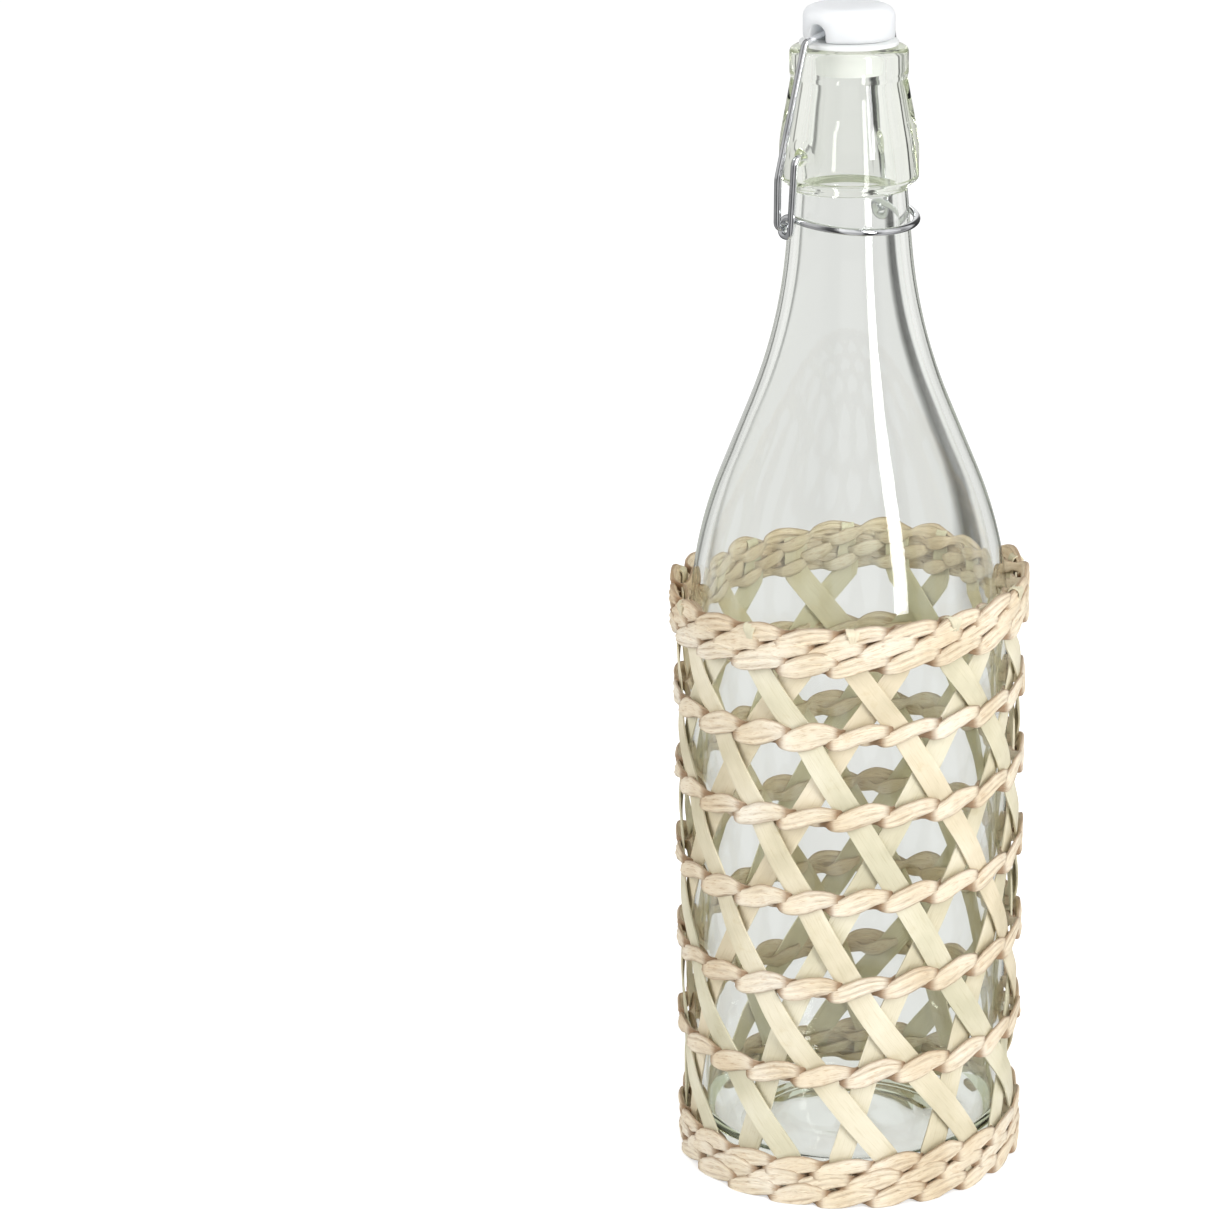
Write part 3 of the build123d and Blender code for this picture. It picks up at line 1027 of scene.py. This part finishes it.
# Floor, light and camera
studio = {
    "floorSize": 12.0,
    "floorDrop": 0.0002,
    "floorLift": 0.50,
    "ambient": 0.64,
    # what shows through the glass and in it: degrees left of the line of sight, brightness
    "throughGlass": (
        (-180, 0.85), (-50, 0.95), (-21, 1.0), (-18.0, 0.85), (-16.0, 0.02), (-10.5, 0.0),
        (-8.5, 0.78), (0, 0.80), (12, 0.82), (18, 0.80), (21, 0.22), (24, 0.22), (27, 0.98),
        (50, 0.95), (180, 0.85),
    ),
    "mirrored": (
        (-180, 1.0), (-160, 0.95), (-150, 0.05), (-132, 0.05), (-122, 0.95), (-95, 0.95), (-84, 0.35),
        (-62, 0.90), (-50, 0.05), (-22, 0.10), (-10, 0.90), (14, 0.90), (26, 0.05), (46, 0.10),
        (60, 0.60), (85, 0.60), (130, 0.50), (146, 0.10), (160, 0.10), (170, 0.95), (180, 1.0),
    ),
    "cardReach": (0.42, 0.62),
    "nearFloor": (0.86, 0.86, 0.86),
    "mirroredFloor": (0.6, 0.6, 0.6),
    "floorColour": (0.80, 0.80, 0.80),
    "wandered": (0.74, 0.77, 0.72),
    "boxAzimuth": -8.0,
    "boxDistance": 1.3,
    "boxHeight": 0.72,
    "boxSize": (0.25, 1.45),
    "boxPower": 16.0,
    "lampAim": 0.17,
    "fillAzimuth": -120.0,
    "fillHeight": 0.6,
    "fillSize": (0.9, 0.9),
    "fillPower": 8.0,
}


def around(azimuth, distance, height):
    a = math.radians(azimuth)
    return Vector((math.sin(a) * distance, -math.cos(a) * distance, height))


def surround(nodes, links, direction, levels):
    # brightness by how far a level direction turns from the camera's line of sight, left positive
    turn = nodes.new("ShaderNodeVectorRotate")
    turn.rotation_type = "Z_AXIS"
    turn.inputs["Angle"].default_value = -math.radians(90 + photo["azimuth"])
    links.new(direction, turn.inputs["Vector"])
    split = nodes.new("ShaderNodeSeparateXYZ")
    links.new(turn.outputs["Vector"], split.inputs["Vector"])
    angle = mathNode(nodes, links, "ARCTAN2", split.outputs["Y"], split.outputs["X"])
    share = mathNode(nodes, links, "ADD", mathNode(nodes, links, "MULTIPLY", angle, 1 / math.tau), 0.5)
    stops = tuple((0.5 + degrees / 360, (level, level, level)) for degrees, level in levels)
    return colourRamp(nodes, links, share, stops)


def byRay(nodes, links, path, through, mirrored, otherwise):
    # one brightness for rays through glass, one for reflections, one for the rest
    first = mixColour(nodes, links, "MIX", path.outputs["Is Glossy Ray"], otherwise, mirrored)
    second = mixColour(nodes, links, "MIX", path.outputs["Is Transmission Ray"], first, through)
    # light that wandered about inside the glass before it came out is a plain grey
    deep = mathNode(nodes, links, "GREATER_THAN", path.outputs["Ray Depth"], glassLook["trappedDepth"])
    return mixColour(nodes, links, "MIX", deep, second, studio["wandered"])


def makeWorld():
    world = bpy.data.worlds.new("studioAir")
    world.use_nodes = True
    nodes, links = world.node_tree.nodes, world.node_tree.links
    nodes.clear()
    place = nodes.new("ShaderNodeTexCoord")
    path = nodes.new("ShaderNodeLightPath")
    direction = place.outputs["Generated"]
    plain = (studio["ambient"],) * 3
    seen = mixColour(nodes, links, "MIX", path.outputs["Is Camera Ray"], plain, (1, 1, 1))
    through = surround(nodes, links, direction, studio["throughGlass"])
    mirrored = surround(nodes, links, direction, studio["mirrored"])
    level = byRay(nodes, links, path, through, mirrored, seen)
    sky = nodes.new("ShaderNodeBackground")
    sky.inputs["Strength"].default_value = 1.0
    links.new(level, sky.inputs["Color"])
    output = nodes.new("ShaderNodeOutputWorld")
    links.new(sky.outputs["Background"], output.inputs["Surface"])
    bpy.context.scene.world = world


def floorMaterial():
    material, nodes, links, shader, output = newMaterial("paleFloor")
    shader.inputs["Base Color"].default_value = (*studio["floorColour"], 1)
    shader.inputs["Roughness"].default_value = 0.9
    shader.inputs["Specular IOR Level"].default_value = 0.0
    place = nodes.new("ShaderNodeTexCoord")
    path = nodes.new("ShaderNodeLightPath")
    direction = place.outputs["Object"]
    # the cards stand far off, so the floor close to the bottle shows none of them
    reach = nodes.new("ShaderNodeVectorMath")
    reach.operation = "LENGTH"
    links.new(direction, reach.inputs[0])
    away = nodes.new("ShaderNodeMapRange")
    away.inputs["From Min"].default_value, away.inputs["From Max"].default_value = studio["cardReach"]
    links.new(reach.outputs["Value"], away.inputs["Value"])
    through = surround(nodes, links, direction, studio["throughGlass"])
    through = mixColour(nodes, links, "MIX", away.outputs["Result"], studio["nearFloor"], through)
    mirrored = surround(nodes, links, direction, studio["mirrored"])
    mirrored = mixColour(nodes, links, "MULTIPLY", 1.0, mirrored, studio["mirroredFloor"])
    glow = nodes.new("ShaderNodeEmission")
    links.new(byRay(nodes, links, path, through, mirrored, (0, 0, 0)), glow.inputs["Color"])
    # the camera sees the floor's own shading lifted to white, so that the shadow stays
    lift = nodes.new("ShaderNodeEmission")
    lift.inputs["Strength"].default_value = studio["floorLift"]
    lifted = nodes.new("ShaderNodeAddShader")
    links.new(shader.outputs["BSDF"], lifted.inputs[0])
    links.new(lift.outputs["Emission"], lifted.inputs[1])
    toCamera = nodes.new("ShaderNodeMixShader")
    links.new(path.outputs["Is Camera Ray"], toCamera.inputs["Fac"])
    links.new(shader.outputs["BSDF"], toCamera.inputs[1])
    links.new(lifted.outputs["Shader"], toCamera.inputs[2])
    glossy, through = path.outputs["Is Glossy Ray"], path.outputs["Is Transmission Ray"]
    bright = mathNode(nodes, links, "MAXIMUM", glossy, through)
    mix = nodes.new("ShaderNodeMixShader")
    links.new(bright, mix.inputs["Fac"])
    links.new(toCamera.outputs["Shader"], mix.inputs[1])
    links.new(glow.outputs["Emission"], mix.inputs[2])
    links.new(mix.outputs["Shader"], output.inputs["Surface"])
    return material


def softBox(name, azimuth, height, size, power):
    light = bpy.data.lights.new(name, "AREA")
    light.shape = "RECTANGLE"
    light.size, light.size_y = size
    light.energy = power
    obj = bpy.data.objects.new(name, light)
    bpy.context.scene.collection.objects.link(obj)
    obj.location = around(azimuth, studio["boxDistance"], height)
    aim = Vector((0, 0, studio["lampAim"])) - obj.location
    obj.rotation_euler = aim.to_track_quat("-Z", "Y").to_euler()
    obj.visible_camera = False
    return obj


def makeStudio():
    makeWorld()
    bpy.ops.mesh.primitive_plane_add(size=studio["floorSize"], location=(0, 0, -studio["floorDrop"]))
    floor = bpy.context.object
    floor.name = "paleFloor"
    floor.data.materials.append(floorMaterial())
    size, power = studio["boxSize"], studio["boxPower"]
    softBox("keyBox", studio["boxAzimuth"], studio["boxHeight"], size, power)
    size, power = studio["fillSize"], studio["fillPower"]
    fill = softBox("fillBox", studio["fillAzimuth"], studio["fillHeight"], size, power)
    fill.visible_glossy = False
    fill.visible_transmission = False
    cameraData = bpy.data.cameras.new("photoCamera")
    camera = bpy.data.objects.new("photoCamera", cameraData)
    bpy.context.scene.collection.objects.link(camera)
    cameraData.lens = photo["lens"]
    cameraData.sensor_width = photo["sensor"]
    cameraData.shift_x = photo["shiftX"]
    cameraData.clip_start = 0.05
    cameraData.clip_end = 40
    a, e = math.radians(photo["azimuth"]), math.radians(photo["pitch"])
    back = Vector((math.sin(a) * math.cos(e), -math.cos(a) * math.cos(e), math.sin(e)))
    camera.location = Vector((0, 0, photo["aimHeight"])) + back * photo["distance"]
    camera.rotation_euler = (-back).to_track_quat("-Z", "Y").to_euler()
    bpy.context.scene.camera = camera
    bpy.context.scene.view_settings.view_transform = "Standard"
    bpy.context.scene.cycles.max_bounces = 24
    bpy.context.scene.cycles.transmission_bounces = 20
    bpy.context.scene.cycles.transparent_max_bounces = 16


makeStudio()
print("studio made")
